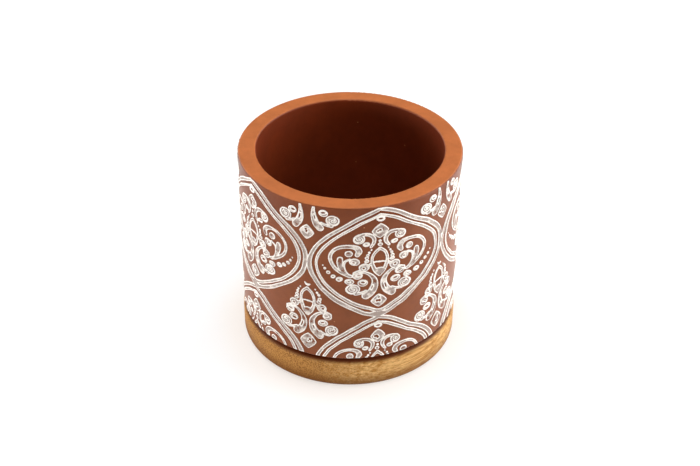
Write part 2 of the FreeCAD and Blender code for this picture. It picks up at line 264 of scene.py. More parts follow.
def makeBamboo():
    material, tree, skin = shaderTree("bamboo", bambooLook)
    turn = bambooLook["fibreTurn"]
    place = placeIn(tree, turn)
    stretch = put(tree, "ShaderNodeMapping")
    stretch.inputs["Scale"].default_value = (1, bambooLook["fibreStretch"], 1)
    along = stretch.outputs["Vector"]
    wire(tree, place, stretch.inputs["Vector"])
    fibres = noise(tree, along, bambooLook["fibreSize"], 3, 0.7)
    grain = noise(tree, along, bambooLook["grainSize"], 4, 0.65)
    pores = put(tree, "ShaderNodeTexVoronoi", Scale=bambooLook["poreSize"])
    wire(tree, along, pores.inputs["Vector"])
    clouds = noise(tree, along, bambooLook["cloudSize"], 2)
    side = ramp(tree, grain, bambooLook["sideGrain"])
    side = blendColours(tree, side, bambooLook["sideDark"], bambooLook["side"])
    end = rescale(tree, pores.outputs["Distance"], *bambooLook["endPores"])
    end = blendColours(tree, end, bambooLook["end"], bambooLook["endDark"])
    facing = put(tree, "ShaderNodeVectorMath", operation="DOT_PRODUCT")
    facing.inputs[1].default_value = (-math.sin(turn), -math.cos(turn), 0)
    coordinate = put(tree, "ShaderNodeTexCoord")
    wire(tree, coordinate.outputs["Normal"], facing.inputs[0])
    cut = calculate(tree, "ABSOLUTE", facing.outputs["Value"], 0.0)
    colour = blendColours(tree, rescale(tree, cut, *bambooLook["endFacing"], smooth=True), side, end)
    darkFibres = rescale(tree, fibres, *bambooLook["darkFibres"])
    colour = blendColours(tree, darkFibres, colour, bambooLook["endDark"])
    colour = blendColours(tree, rescale(tree, clouds, *bambooLook["clouds"]), colour, bambooLook["end"])
    split = put(tree, "ShaderNodeSeparateXYZ")
    wire(tree, place, split.inputs[0])
    height = split.outputs["Z"]
    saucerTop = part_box("saucer")[1].z
    # painted shade along the saucer's top edge, next to the pot
    paintedTopShadeMask = rescale(tree, height, *[saucerTop - depth for depth in bambooLook["paintedTopShadeDepth"]], smooth=True)
    # painted shade darkening the saucer's wall towards the foot
    paintedFootShadeMask = rescale(tree, height, *bambooLook["paintedFootShadeHeight"], 0, bambooLook["paintedFootShadeStrength"], smooth=True)
    colour = blendColours(tree, paintedFootShadeMask, colour, bambooLook["foot"])
    colour = blendColours(tree, paintedTopShadeMask, colour, bambooLook["paintedTopShade"])
    wire(tree, colour, skin.inputs["Base Color"])
    wire(tree, bumpy(tree, fibres, *bambooLook["grooves"]), skin.inputs["Normal"])
    return material


dress("saucer", makeBamboo())
print("bamboo made")


# Pads and drain mesh

padLook = {
    "colour": seen(38, 37, 36),
    "speckle": seen(66, 64, 61),
    "speckleSize": 1500,
    "roughness": 0.85,
    "specular": 0.5,
    "pits": (0.1 * mm, 0.5),            # depth and strength
}
meshLook = {
    "colour": seen(58, 56, 52),
    "cloud": seen(74, 72, 68),
    "cloudSize": 300,
    "roughness": 0.5,
    "specular": 0.5,
}


def makePadRubber():
    material, tree, skin = shaderTree("padRubber", padLook)
    speckle = noise(tree, placeIn(tree), padLook["speckleSize"], 2)
    wire(tree, blendColours(tree, speckle, padLook["colour"], padLook["speckle"]), skin.inputs["Base Color"])
    wire(tree, bumpy(tree, speckle, *padLook["pits"]), skin.inputs["Normal"])
    return material


def makeMeshPlastic():
    material, tree, skin = shaderTree("meshPlastic", meshLook)
    cloudy = noise(tree, placeIn(tree), meshLook["cloudSize"], 2)
    wire(tree, blendColours(tree, cloudy, meshLook["colour"], meshLook["cloud"]), skin.inputs["Base Color"])
    return material


dress("saucer_pads", makePadRubber())
dress("drain_mesh", makeMeshPlastic())
print("pads and mesh made")


# Slip relief. It is drawn flat in millimetres, with u across the girth and v above the table.
# Then it is bent round the wall.

pattern = {
    "columns": 5,
    "firstColumn": 15.0,                    # degrees to the right of the front
    "cellMiddle": potHigh.z / mm - 43.7,
    "rowPitch": 85.5,
    "bottom": slipLow.z / mm,               # the slip runs down to the rounding above the saucer
    "top": slipHigh.z / mm + 0.4,
    "margin": 3,
    "motifReach": (47, 43),                 # how far a motif reaches across and up
    "lowerRowAcross": 0.93,                 # the lower cells are a little narrower
    "topDrop": (35.0, 3.0, 2.1),            # lift, half width and half height of the drop in a cell's top
    "topDropHole": (1.5, 0.65),
    "crossing": (-40.0, 6.8, 1.7),          # white ground of the crossing under a cell
    "between": (-0.5, 8.2, 0.95, 1.04),     # row, lift in mm, share across, share up
    "underRim": (0.5, 9.75, 1.0, 0.98),
    "underRimLeft": (0.88, -1.4),           # its left half is narrower and lower
    "wobble": 0.16,                         # how far a hand drawn line strays
    "wobbleWaves": (14, 60, 13),            # how many, the longest and the shortest
    "ragged": 0.05,
    "raggedWaves": (24, 5, 1.6),
    "pulls": [(-60, 0), (15, 0), (30, 0.5), (40, 1.2), (51, 2.4), (70, 3.0),
              (90, 3.0), (180, 0), (300, 0)],       # degrees, mm to the right
    "seed": 11,
}
relief = {
    "ridgeDepth": 0.42,       # a raised lip runs this far inside every edge
    "profile": [(-1, 0.0), (0.0, 0.20), (0.2, 0.40), (0.42, 0.50), (0.65, 0.45),
                (1.0, 0.31), (1.6, 0.24), (3.0, 0.20)],     # mm in from the edge, height
    "uneven": 0.10,           # share by which the height varies
    "highest": 0.515,
    "sunk": 0.25,             # the underside lies this far inside the wall
    "underEvery": 9,          # it has one in this many of the top's inner points
    "gridStep": 0.25,
    "edgeStep": 0.55,
    "edgeTurn": 0.45,         # an edge turns no more than this between two points, in radians
    "fewestPoints": 6,
    "shortestLoop": 8,        # in steps of the grid
    "fillStep": 0.62,
    "fillRows": 0.87,         # space between rows of points, as a share of that step
    "fillClear": 0.22,
    "weld": 0.55,             # touching shapes run together over this width
    "reach": 2.5,             # shapes further apart than this don't meet
    "farAway": 9.0,           # distance where nothing is drawn
    "ringHole": 60,           # inner radius of the ring that loops round the pot are filled in
    "tolerance": 1e-7,
}
wallRadius = potHigh.x / mm
girth = 2 * math.pi * wallRadius
columnPitch = girth / pattern["columns"]
gridColumns = round(girth / relief["gridStep"])
gridStepU = girth / gridColumns
gridStepV = relief["gridStep"]
gridBottom = pattern["bottom"] - pattern["margin"]
gridRows = int((pattern["top"] + pattern["margin"] - gridBottom) / gridStepV) + 2
gridU, gridV = np.meshgrid(np.arange(gridColumns) * gridStepU, gridBottom + np.arange(gridRows) * gridStepV)


def waves(count, longest, shortest, seed):  # smooth random field, about -1 to 1, that closes round the girth
    source = np.random.default_rng(seed)
    field = np.zeros_like(gridU)
    for _ in range(count):
        turns = source.integers(int(girth / longest), int(girth / shortest)) * source.choice([-1, 1])
        rise = source.uniform(1 / longest, 1 / shortest) * source.choice([-1, 1])
        field += np.sin(2 * math.pi * (turns * gridU / girth + rise * gridV) + source.uniform(0, 6.3))
    return field / math.sqrt(count / 2) / 1.6


strayU = waves(*pattern["wobbleWaves"], pattern["seed"]) * pattern["wobble"]
pullStart = pattern["pulls"][0][0]
strayU -= np.interp((gridU / girth * 360 - pullStart) % 360 + pullStart, *zip(*pattern["pulls"]))
strayV = waves(*pattern["wobbleWaves"], pattern["seed"] + 1) * pattern["wobble"]
ragged = waves(*pattern["raggedWaves"], pattern["seed"] + 2)


def through(points, steps=8):  # smooth run through given points (u, v, half width)
    p = np.array(points, float)
    p = np.vstack([2 * p[0] - p[1], p, 2 * p[-1] - p[-2]])
    t = np.linspace(0, 1, steps, endpoint=False)[:, None]
    runs = [0.5 * (2 * b + (c - a) * t + (2 * a - 5 * b + 4 * c - d) * t ** 2
                   + (3 * b - a - 3 * c + d) * t ** 3)
            for a, b, c, d in zip(p, p[1:], p[2:], p[3:])]
    return np.vstack(runs + [p[-2:-1]])


def lay(field, box, distance, hollow=False):  # adds a shape to the field, or hollows it
    reach = relief["reach"]
    cols = np.arange(math.floor((box[0] - reach) / gridStepU), math.ceil((box[2] + reach) / gridStepU) + 1)
    lowRow = max(0, math.floor((box[1] - reach - gridBottom) / gridStepV))
    rows = np.arange(lowRow, min(gridRows, math.ceil((box[3] + reach - gridBottom) / gridStepV) + 1))
    if not len(rows):
        return
    window = np.ix_(rows, cols % gridColumns)
    u = cols[None, :] * gridStepU + strayU[window]
    v = gridBottom + rows[:, None] * gridStepV + strayV[window]
    new, old = distance(u, v), field[window]
    if hollow:
        field[window] = np.maximum(old, -new)
    else:
        overlap = np.clip(relief["weld"] - np.abs(old - new), 0, None) / relief["weld"]
        field[window] = np.minimum(old, new) - overlap ** 2 * relief["weld"] / 4


def stroke(field, run, hollow=False):
    def distance(u, v):
        nearest = np.full(u.shape, relief["farAway"])
        for (au, av, ar), (bu, bv, br) in zip(run, run[1:]):
            du, dv = bu - au, bv - av
            t = np.clip(((u - au) * du + (v - av) * dv) / (du * du + dv * dv + 1e-9), 0, 1)
            nearest = np.minimum(nearest, np.hypot(u - au - t * du, v - av - t * dv) - ar - t * (br - ar))
        return nearest

    wide = run[:, 2].max()
    box = (run[:, 0].min() - wide, run[:, 1].min() - wide, run[:, 0].max() + wide, run[:, 1].max() + wide)
    lay(field, box, distance, hollow)


def oval(field, u0, v0, halfU, halfV, lean=0.0, power=2.0, hollow=False):  # power under 2 gives a pointed gem
    c, s = math.cos(lean), math.sin(lean)

    def distance(u, v):
        x = np.abs((u - u0) * c + (v - v0) * s) / halfU + 1e-6
        y = np.abs((v - v0) * c - (u - u0) * s) / halfV + 1e-6
        level = (x ** power + y ** power) ** (1 / power)
        slope = np.hypot(x ** (power - 1) / halfU, y ** (power - 1) / halfV) * level ** (1 - power)
        return (level - 1) / slope

    wide = max(halfU, halfV)
    lay(field, (u0 - wide, v0 - wide, u0 + wide, v0 + wide), distance, hollow)


# Shapes of the drawing. The right half is listed from the middle of a cell, and the left half mirrors it.
# A stroke runs through points (u, v, half width). An oval, a hole and a gem have half their width and height
# after u and v, and a curl also has the angle where it starts and its turns.
lowerShapes = {
    "strokes": [
        [(0, 11.9, 1.15), (3.0, 9.3, 1.05), (4.7, 5.6, 1.0), (5.0, 2.2, 1.0), (4.3, -1.2, 1.25),
         (2.5, -5.5, 1.4), (0, -8.2, 1.3)],
        [(0, 1.9, 0.6), (2.2, 1.9, 0.55), (4.4, 1.5, 0.5)],
        [(11.5, -5.6, 0.9), (8.2, -6.3, 1.1), (5.2, -8.8, 1.4), (3.2, -12.5, 1.9), (3.3, -17.0, 2.4),
         (5.2, -21.5, 2.8), (8.6, -24.4, 2.9)],
        [(8.8, -20.8, 1.0), (11.6, -22.2, 1.0), (15.5, -22.9, 1.0)],
        [(6.0, 0.4, 1.0), (8.0, -1.0, 1.1)],
        [(11.0, -4.4, 0.9), (13.6, -4.9, 1.0), (16.4, -6.3, 1.1)],
    ],
    "ovals": [
        (8.5, 5.3, 1.4, 1.35), (8.0, 7.7, 1.1, 1.1), (6.9, 9.8, 0.9, 0.95), (5.5, 11.8, 0.6, 0.75),
        (8.5, 2.8, 1.7, 1.3),
        (10.2, -2.0, 3.5, 3.2),
        (14.0, -8.2, 3.5, 2.8),
        (11.0, -13.9, 3.5, 2.7),
        (17.2, -19.1, 4.7, 4.0),
        (0, -4.8, 3.4, 2.0),
    ],
    "holes": [(13.4, -8.2, 1.7, 0.42), (10.7, -13.9, 1.5, 0.75), (10.4, -2.2, 0.8, 0.7),
              (4.3, -17.6, 0.45, 2.1)],
    "curls": [(17.2, -19.1, 3.4, 2.8, 1.0, -0.95)],
    "gem": (0, -29.6, 5.5, 5.2),
}
upperShapes = {
    "strokes": [
        [(5.8, 14.2, 1.0), (4.0, 17.0, 1.25), (3.9, 20.4, 1.4), (6.4, 23.2, 1.4), (10.2, 23.9, 1.3),
         (13.6, 22.9, 1.4)],
        [(18.8, -8.4, 1.3), (24.0, -5.8, 1.3), (28.5, -2.2, 1.25), (31.1, 2.5, 1.2), (31.5, 7.3, 1.15),
         (29.1, 11.7, 1.15), (24.8, 14.4, 1.2), (19.5, 15.1, 1.3), (15.0, 13.9, 1.8), (13.2, 11.0, 2.0),
         (14.3, 8.4, 1.5)],
        [(25.5, 5.1, 1.9), (25.5, 2.6, 2.1), (24.8, -1.5, 1.7), (22.5, -6.0, 1.1)],
        [(19.3, 5.0, 0.8), (22.3, 3.2, 0.85), (23.2, 0, 0.9), (22.5, -3.8, 0.9), (20.3, -7.3, 0.95),
         (18.5, -8.3, 1.0)],
    ],
    "ovals": [
        (0, 18.2, 1.0, 1.1), (0, 15.2, 1.7, 1.4),
        (13.5, 20.6, 3.8, 3.6), (9.0, 16.1, 2.4, 1.7),
        (20.0, 9.4, 2.7, 2.5), (16.4, 2.9, 3.4, 2.9),
        (36.6, -1.0, 0.55, 0.6), (35.2, -3.6, 1.0, 1.05), (33.0, -6.3, 1.4, 1.3), (29.9, -9.0, 1.6, 1.5),
        (25.8, -11.3, 2.3, 1.9), (19.5, -12.9, 3.0, 2.3),
    ],
    "holes": [(9.2, 16.0, 1.2, 0.35), (16.6, 2.7, 0.8, 0.5), (19.6, -12.8, 0.9, 0.4),
              (25.9, -11.2, 0.8, 0.45), (30.0, -8.9, 0.5, 0.4)],
    "curls": [(13.5, 20.6, 2.3, 2.1, 0.2, -0.75)],
    "gem": (0, 25.9, 5.5, 5.6),
}
betweenShapes = dict(lowerShapes, gem=(0, -30.6, 6.1, 6.5))
smile = [(-1.8, 16.9, 0.5), (-0.9, 15.7, 0.8), (0.3, 15.3, 0.9), (1.6, 15.9, 0.5)]
# Bands run once round a cell, clockwise from its top.
outerBand = [
    (0, 42.3, 1.3), (7.1, 40.2, 1.5), (13.3, 36.8, 1.5), (23.8, 29.2, 1.5), (29.6, 25.6, 1.55),
    (35.5, 21.4, 1.7), (41.0, 15.7, 1.75), (45.1, 8.4, 1.8), (45.9, 0, 1.7), (44.1, -8.2, 1.5),
    (39.7, -15.1, 1.6), (34.4, -20.7, 1.45), (28.8, -25.0, 1.35), (18.5, -32.7, 1.5),
    (12.9, -36.1, 1.45), (6.9, -39.2, 1.45), (0, -41.6, 1.8), (-6.9, -40.0, 1.5), (-13.5, -37.2, 1.55),
    (-25.3, -30.2, 1.7), (-30.9, -26.0, 1.7), (-36.3, -20.9, 1.55), (-40.8, -14.9, 1.6),
    (-44.6, -7.9, 1.7), (-45.7, 0, 1.7), (-43.6, 7.7, 1.35), (-40.0, 14.6, 1.2), (-34.9, 20.1, 1.3),
    (-29.7, 24.9, 1.3), (-24.2, 28.8, 1.25), (-18.9, 32.7, 1.4), (-13.2, 36.2, 1.4),
    (-7.0, 39.4, 1.35), (0, 42.3, 1.3),
]
innerLine = [
    (0, 38.1, 0.9), (6.3, 35.7, 1.1), (11.8, 32.7, 1.2), (16.7, 29.4, 1.25), (21.4, 26.1, 1.1),
    (26.5, 22.9, 1.2), (31.6, 18.9, 1.25), (36.8, 14.0, 1.25), (40.4, 7.5, 1.3), (41.6, 0, 1.15),
    (39.5, -7.3, 1.15), (35.5, -13.5, 1.1), (31.0, -18.5, 1.1), (26.2, -22.7, 1.15),
    (16.7, -29.4, 1.2), (11.7, -32.5, 1.25), (6.3, -35.6, 1.25), (0, -38.0, 1.4), (-6.2, -35.3, 1.25),
    (-12.1, -33.1, 1.4), (-17.5, -30.3, 1.4), (-22.7, -27.0, 1.3), (-27.8, -23.3, 1.2),
    (-32.5, -18.8, 1.2), (-36.8, -13.4, 1.15), (-39.9, -7.0, 0.95), (-41.0, 0, 0.9), (-39.4, 6.9, 1.0),
    (-35.9, 13.1, 1.05), (-31.3, 18.1, 1.05), (-26.7, 22.4, 0.95), (-21.8, 26.0, 1.05),
    (-16.9, 29.2, 1.05), (-11.8, 32.4, 1.0), (-6.2, 35.1, 0.95), (0, 38.1, 0.9),
]
rimShapes = {  # the motif under the rim, of which only the lower half shows
    "strokes": [
        [(5.2, -8.0, 0.8), (4.6, -12.5, 1.3), (4.9, -17.0, 2.1), (6.3, -21.8, 2.6), (8.9, -25.2, 2.7)],
        [(9.6, -21.4, 0.9), (12.4, -22.6, 1.0), (16.3, -23.3, 1.1)],
    ],
    "ovals": [(11.0, -13.9, 3.0, 2.6), (17.1, -19.1, 4.5, 4.1)],
    "holes": [(10.8, -13.8, 1.3, 0.6), (5.4, -17.6, 0.45, 2.0)],
    "curls": [(17.1, -19.1, 3.2, 2.8, 1.0, -0.95)],
    "gem": (0, -30.3, 5.0, 5.7),
}
hand = {  # how the drawing varies from one motif to the next
    "strokeStray": 0.12,
    "ovalStray": 0.15,
    "holeStray": 0.2,
    "widthStray": 0.04,
    "holeSizes": (0.75, 1.15),
    "holeLean": 0.25,
    "curlPoints": 26,
    "curlShrink": 0.62,          # share of its size that a curl winds in
    "curlLine": (0.30, 0.10),    # half width at its start, and how much it thins
    "gemPower": 1.3,
    "gemHoles": 3,
    "gemHoleStray": 1.1,
    "gemHoleSizes": (0.4, 1.1),
}


def drawShapes(field, shapes, midU, midV, across=1.0, up=1.0, leftShare=1.0, leftLift=0.0):
    def spot(u, v, stray):  # where a point of the drawing goes, with a little stray
        share, lift = (leftShare, leftLift) if u < 0 else (1.0, 0.0)
        placeU = midU + u * across * share + randomness.normal(0, stray)
        return placeU, midV + v * up + lift + randomness.normal(0, stray)

    for side in (1, -1):
        for points in shapes["strokes"]:
            offsetU, offsetV = spot(0, 0, hand["strokeStray"])
            share, lift = (leftShare, leftLift) if side < 0 else (1.0, 0.0)
            wide = (across + up) / 2 * randomness.normal(1, hand["widthStray"])
            run = through(points) * (side * across * share, up, wide)
            stroke(field, run + (offsetU, offsetV + lift, 0))
        for u, v, halfU, halfV in shapes["ovals"]:
            if u > 0 or side > 0:
                oval(field, *spot(side * u, v, hand["ovalStray"]), halfU * across, halfV * up)
    for side in (1, -1):
        for u, v, halfU, halfV in shapes["holes"]:
            size = randomness.uniform(*hand["holeSizes"])
            oval(field, *spot(side * u, v, hand["holeStray"]), halfU * size, halfV * size,
                 side * hand["holeLean"], hollow=True)
        for u, v, halfU, halfV, start, turns in shapes["curls"]:
            t = np.linspace(0, 1, hand["curlPoints"])
            angle, reach = start + t * turns * 2 * math.pi, 1 - hand["curlShrink"] * t
            middleU, middleV = spot(side * u, v, hand["ovalStray"])
            line = np.column_stack([middleU + side * halfU * reach * np.cos(angle) * across,
                                    middleV + halfV * reach * np.sin(angle) * up,
                                    hand["curlLine"][0] - hand["curlLine"][1] * t])
            stroke(field, line, hollow=True)
    u, v, halfU, halfV = shapes["gem"]
    oval(field, midU + u, midV + v * up, halfU * across, halfV * up, power=hand["gemPower"])
    for _ in range(hand["gemHoles"]):
        offsetU, offsetV = randomness.normal(0, hand["gemHoleStray"], 2)
        halves = randomness.uniform(*hand["gemHoleSizes"], 2)
        lean = randomness.uniform(0, 3)
        oval(field, midU + u + offsetU, midV + v * up + offsetV, *halves, lean, hollow=True)


def cellMiddles():  # (u, v, share across) of every cell
    for column in range(pattern["columns"]):
        u = girth * (pattern["firstColumn"] / 360 + column / pattern["columns"])
        yield u, pattern["cellMiddle"], 1.0
        yield u, pattern["cellMiddle"] - pattern["rowPitch"], pattern["lowerRowAcross"]


def drawMotifs():
    dropLift, dropU, dropV = pattern["topDrop"]
    holeU, holeV = pattern["topDropHole"]
    betweenRow, betweenLift, *betweenSize = pattern["between"]
    rimRow, rimLift, *rimSize = pattern["underRim"]
    field = np.full_like(gridU, relief["farAway"])
    for cellU, cellV, across in cellMiddles():
        drawShapes(field, lowerShapes, cellU, cellV, across)
        drawShapes(field, upperShapes, cellU, cellV, across)
        oval(field, cellU, cellV + dropLift, dropU * across, dropV)
        oval(field, cellU, cellV + dropLift, holeU * across, holeV, hollow=True)
    for column in range(pattern["columns"]):
        midU = girth * (pattern["firstColumn"] / 360 + (column + 0.5) / pattern["columns"])
        midV = pattern["cellMiddle"] + betweenRow * pattern["rowPitch"] + betweenLift
        drawShapes(field, betweenShapes, midU, midV, *betweenSize)
        stroke(field, through(smile) + (midU, midV, 0))
        rimV = pattern["cellMiddle"] + rimRow * pattern["rowPitch"] + rimLift
        drawShapes(field, rimShapes, midU, rimV, *rimSize, *pattern["underRimLeft"])
    return field


def drawBands():
    lift, halfU, halfV = pattern["crossing"]
    field = np.full_like(gridU, relief["farAway"])
    for cellU, cellV, across in cellMiddles():
        for points in (outerBand, innerLine):
            stroke(field, through(points, 5) * (across, 1, 1) + (cellU, cellV, 0))
        oval(field, cellU, cellV + lift, halfU, halfV)
    return field


def clipped(field):  # cuts the drawing off at the foot and at the rim
    outside = np.maximum(gridV - pattern["top"], pattern["bottom"] - gridV)
    return np.maximum(field + pattern["ragged"] * ragged, outside)


segmentCases = {  # which sides of a square an edge enters and leaves, for each set of corners inside
    1: [(0, 3)], 2: [(1, 0)], 3: [(1, 3)], 4: [(2, 1)], 5: [(0, 3), (2, 1)], 6: [(2, 0)], 7: [(2, 3)],
    8: [(3, 2)], 9: [(0, 2)], 10: [(1, 0), (3, 2)], 11: [(1, 2)], 12: [(3, 1)], 13: [(0, 1)], 14: [(3, 0)],
}


def contours(field, level):  # closed loops where the field crosses the level; u may run past the girth
    inside = (field < level).astype(int)
    right = np.roll(inside, -1, 1)
    case = inside[:-1] + 2 * right[:-1] + 4 * right[1:] + 8 * inside[1:]
    following = {}
    for row, col in zip(*np.nonzero((case > 0) & (case < 15))):
        edges = (("h", row, col), ("v", row, (col + 1) % gridColumns), ("h", row + 1, col), ("v", row, col))
        for start, end in segmentCases[case[row, col]]:
            following[edges[start]] = edges[end]
    loops = []
    while following:
        crossing = next(iter(following))
        loop = []
        while crossing in following:
            kind, row, col = crossing
            here = field[row, col]
            beyond = field[row, (col + 1) % gridColumns] if kind == "h" else field[row + 1, col]
            t = (level - here) / (beyond - here)
            loop.append((col + t, row, col) if kind == "h" else (col, row + t, col))
            crossing = following.pop(crossing)
        if len(loop) > relief["shortestLoop"]:
            spots = np.array(loop)
            jumps = np.diff(spots[:, 2], append=spots[0, 2])  # past the seam the columns start again
            turns = np.cumsum((jumps < -gridColumns / 2).astype(int) - (jumps > gridColumns / 2))
            spots[1:, 0] += turns[:-1] * gridColumns
            loops.append(evenly(spots[:, :2] * (gridStepU, gridStepV) + (0, gridBottom), turns[-1]))
    return loops


def evenly(loop, turn):  # evens out the spacing, closer in tight bends
    closed = np.vstack([loop, loop[:1] + (turn * girth, 0)])    # a loop round the pot closes one girth on
    steps = np.diff(closed, axis=0)
    smooth = sum(np.roll(steps, k, 0) for k in (-2, -1, 0, 1, 2))
    heading = np.arctan2(smooth[:, 1], smooth[:, 0])
    turning = np.abs((heading - np.roll(heading, 1) + math.pi) % (2 * math.pi) - math.pi)
    need = np.hypot(*steps.T) / relief["edgeStep"] + turning / relief["edgeTurn"]
    total = np.concatenate([[0], np.cumsum(need)])
    count = max(relief["fewestPoints"], round(total[-1]))
    where = np.arange(count) / count * total[-1]
    return np.column_stack([np.interp(where, total, closed[:, 0]), np.interp(where, total, closed[:, 1])])


def sample(field, u, v):
    col, row = u / gridStepU, np.clip((v - gridBottom) / gridStepV, 0, gridRows - 1.001)
    c, r = np.floor(col).astype(int), np.floor(row).astype(int)
    fc, fr = col - c, row - r
    c, c1 = c % gridColumns, (c + 1) % gridColumns
    below = field[r, c] * (1 - fc) + field[r, c1] * fc
    above = field[r + 1, c] * (1 - fc) + field[r + 1, c1] * fc
    return below * (1 - fr) + above * fr


def toRing(points):  # the unrolled wall as a flat ring, in which loops round the pot are closed
    angle, radius = points[:, 0] / wallRadius, relief["ringHole"] + points[:, 1] - pattern["bottom"]
    return np.column_stack([radius * np.sin(angle), radius * np.cos(angle)])


def fromRing(points):
    angle, radius = np.arctan2(points[:, 0], points[:, 1]), np.hypot(points[:, 0], points[:, 1])
    return np.column_stack([angle * wallRadius, radius - relief["ringHole"] + pattern["bottom"]])


def insideTriangles(triangles, border):  # goes in from the outermost ones, and changes side at the border
    owners = {}
    for index, triangle in enumerate(triangles):
        for a, b in zip(triangle, triangle[1:] + triangle[:1]):
            owners.setdefault(frozenset((a, b)), []).append(index)
    kept = [None] * len(triangles)
    queue = []
    for side, pair in owners.items():
        if len(pair) == 1 and kept[pair[0]] is None:
            kept[pair[0]] = side in border
            queue.append(pair[0])
    while queue:
        index = queue.pop()
        triangle = triangles[index]
        for a, b in zip(triangle, triangle[1:] + triangle[:1]):
            side = frozenset((a, b))
            for other in owners[side]:
                if kept[other] is None:
                    kept[other] = kept[index] != (side in border)
                    queue.append(other)
    return np.array([triangle for triangle, keep in zip(triangles, kept) if keep])


def fillLoops(edges, ridges, fill):  # triangles inside the edges; the ridges and the fill only add points
    links, start = [], 0
    for loop in edges + ridges:
        links += [(start + k, start + (k + 1) % len(loop)) for k in range(len(loop))]
        start += len(loop)
    edgeLinks = sum(len(loop) for loop in edges)
    flat = [Vector(point) for point in np.vstack(edges + ridges + [fill])]
    points, sides, triangles, _, sideFrom, _ = delaunay_2d_cdt(flat, links, [], 0, relief["tolerance"])
    border = {frozenset(side) for side, origins in zip(sides, sideFrom)
              if any(k < edgeLinks for k in origins)}
    used, inside = np.unique(insideTriangles(triangles, border), return_inverse=True)
    return np.array(points)[used], inside.reshape(-1, 3)


def closeUnder(chain, sides, fill):  # the underside has only the border's points and a few more
    points = np.vstack([chain, fill])
    flat, links = [Vector(point) for point in points], sides.tolist()
    _, _, triangles, pointFrom, _, _ = delaunay_2d_cdt(flat, links, [], 0, relief["tolerance"])
    named = [[pointFrom[k][0] for k in triangle] for triangle in triangles]
    border = {frozenset(side) for side in links}
    used, inside = np.unique(insideTriangles(named, border), return_inverse=True)
    return points[used], inside.reshape(-1, 3)


def openSides(triangles):  # directed sides that have a triangle on one side only
    sides = {(a, b) for t in triangles.tolist() for a, b in zip(t, t[1:] + t[:1])}
    return np.array(sorted((a, b) for a, b in sides if (b, a) not in sides))


def bend(points, out):  # drawing to the wall, out is the height above it
    angle, radius = points[:, 0] / wallRadius, wallRadius + out
    return np.column_stack([radius * np.sin(angle), -radius * np.cos(angle), points[:, 1]]) * mm


def buildRelief(name, field, edges, ridges, fill, ring=False):  # a closed body with a lip along every edge
    if ring:
        edges, ridges = [toRing(loop) for loop in edges], [toRing(loop) for loop in ridges]
        fill = toRing(fill)
    points, top = fillLoops(edges, ridges, fill)
    borderSides = openSides(top)
    borderPoints, chainSides = np.unique(borderSides, return_inverse=True)
    chainSides = chainSides.reshape(-1, 2)
    underPoints, under = closeUnder(points[borderPoints], chainSides, fill[::relief["underEvery"]])
    if ring:
        points, underPoints = fromRing(points), fromRing(underPoints)
    depth = -sample(field, points[:, 0], points[:, 1])
    depth[borderPoints] = 0
    uneven = 1 + relief["uneven"] * sample(ragged, points[:, 0], points[:, 1])
    out = np.interp(depth, *zip(*relief["profile"])) * uneven
    upper = bend(points, np.minimum(out, relief["highest"]))
    lower = bend(underPoints, np.full(len(underPoints), -relief["sunk"]))
    count = len(upper)
    walls = np.column_stack([borderSides[:, ::-1], chainSides + count])
    faces = top.tolist() + (under[:, ::-1] + count).tolist() + walls.tolist()
    mesh = bpy.data.meshes.new(name)
    mesh.from_pydata(np.vstack([upper, lower]).tolist(), [], faces)
    attribute = mesh.attributes.new("slipDepth", "FLOAT", "POINT")
    attribute.data.foreach_set("value", np.concatenate([depth, np.full(len(lower), -1.0)]).astype(np.float32))
    mesh.shade_smooth()
    piece = bpy.data.objects.new(name, mesh)
    bpy.context.scene.collection.objects.link(piece)
    print(name, len(mesh.polygons), "faces")
    return piece


def fillPoints(field):  # evenly spread points on the slip, clear of its lips
    step = girth / round(girth / relief["fillStep"])
    rows = np.arange(pattern["bottom"], pattern["top"], step * relief["fillRows"])
    u, v = np.meshgrid(np.arange(round(girth / step)) * step, rows)
    u = (u + (np.arange(len(u))[:, None] % 2) * step / 2).ravel()
    v = v.ravel()
    keep = sample(field, u, v) < -relief["ridgeDepth"] - relief["fillClear"]
    return np.column_stack([u[keep], v[keep]])


def motifMiddle(half):  # motifs stand half a column apart round the pot
    return girth * pattern["firstColumn"] / 360 + half * columnPitch / 2


def nearestMotif(u, v):  # which motif a point belongs to, numbered round the pot, the upper ones first
    reachU, reachV = pattern["motifReach"]
    away = []
    for row in (0, 1):
        for half in range(2 * pattern["columns"]):
            beside = (u - motifMiddle(half) + girth / 2) % girth - girth / 2
            above = v - pattern["cellMiddle"] - (half % 2 / 2 - row) * pattern["rowPitch"]
            away.append(np.abs(beside) / reachU + np.abs(above) / reachV)
    return np.argmin(away, axis=0)


slipLook = {
    "white": seen(255, 248, 240),
    "grey": seen(168, 150, 140),
    "pale": seen(238, 226, 216),
    "clay": seen(126, 70, 42),
    "lipStart": (-0.16, 0.02),    # mm in from an edge, over which the thick white lip starts
    "lipEnd": (0.82, 0.54),       # and ends
    "lipWaver": (0.3, 0.7, -0.09, 0.09),
    "lips": (0.5 * mm, 0.6),      # how high the lips stand for the light, and how strongly
    "crumbs": (0.10 * mm, 0.6),
    "crumbSize": 1100,            # crumbs and patches per metre
    "patchSize": 220,
    "motifWear": (0.36, 0.62),    # the narrower, the more bare patches and white between them
    "bandWear": (0.13, 0.80),
    "crumbWear": (0.35, 0.65, -0.12, 0.12),
    "wideWear": (0.9, 2.0, 0.05, -0.2),     # barest in the middle of the widest shapes
    "wornTones": [(0.04, "clay"), (0.24, "grey"), (0.55, "grey"), (0.95, "pale")],
    "roughness": 0.5,
    "specular": 0.4,
}


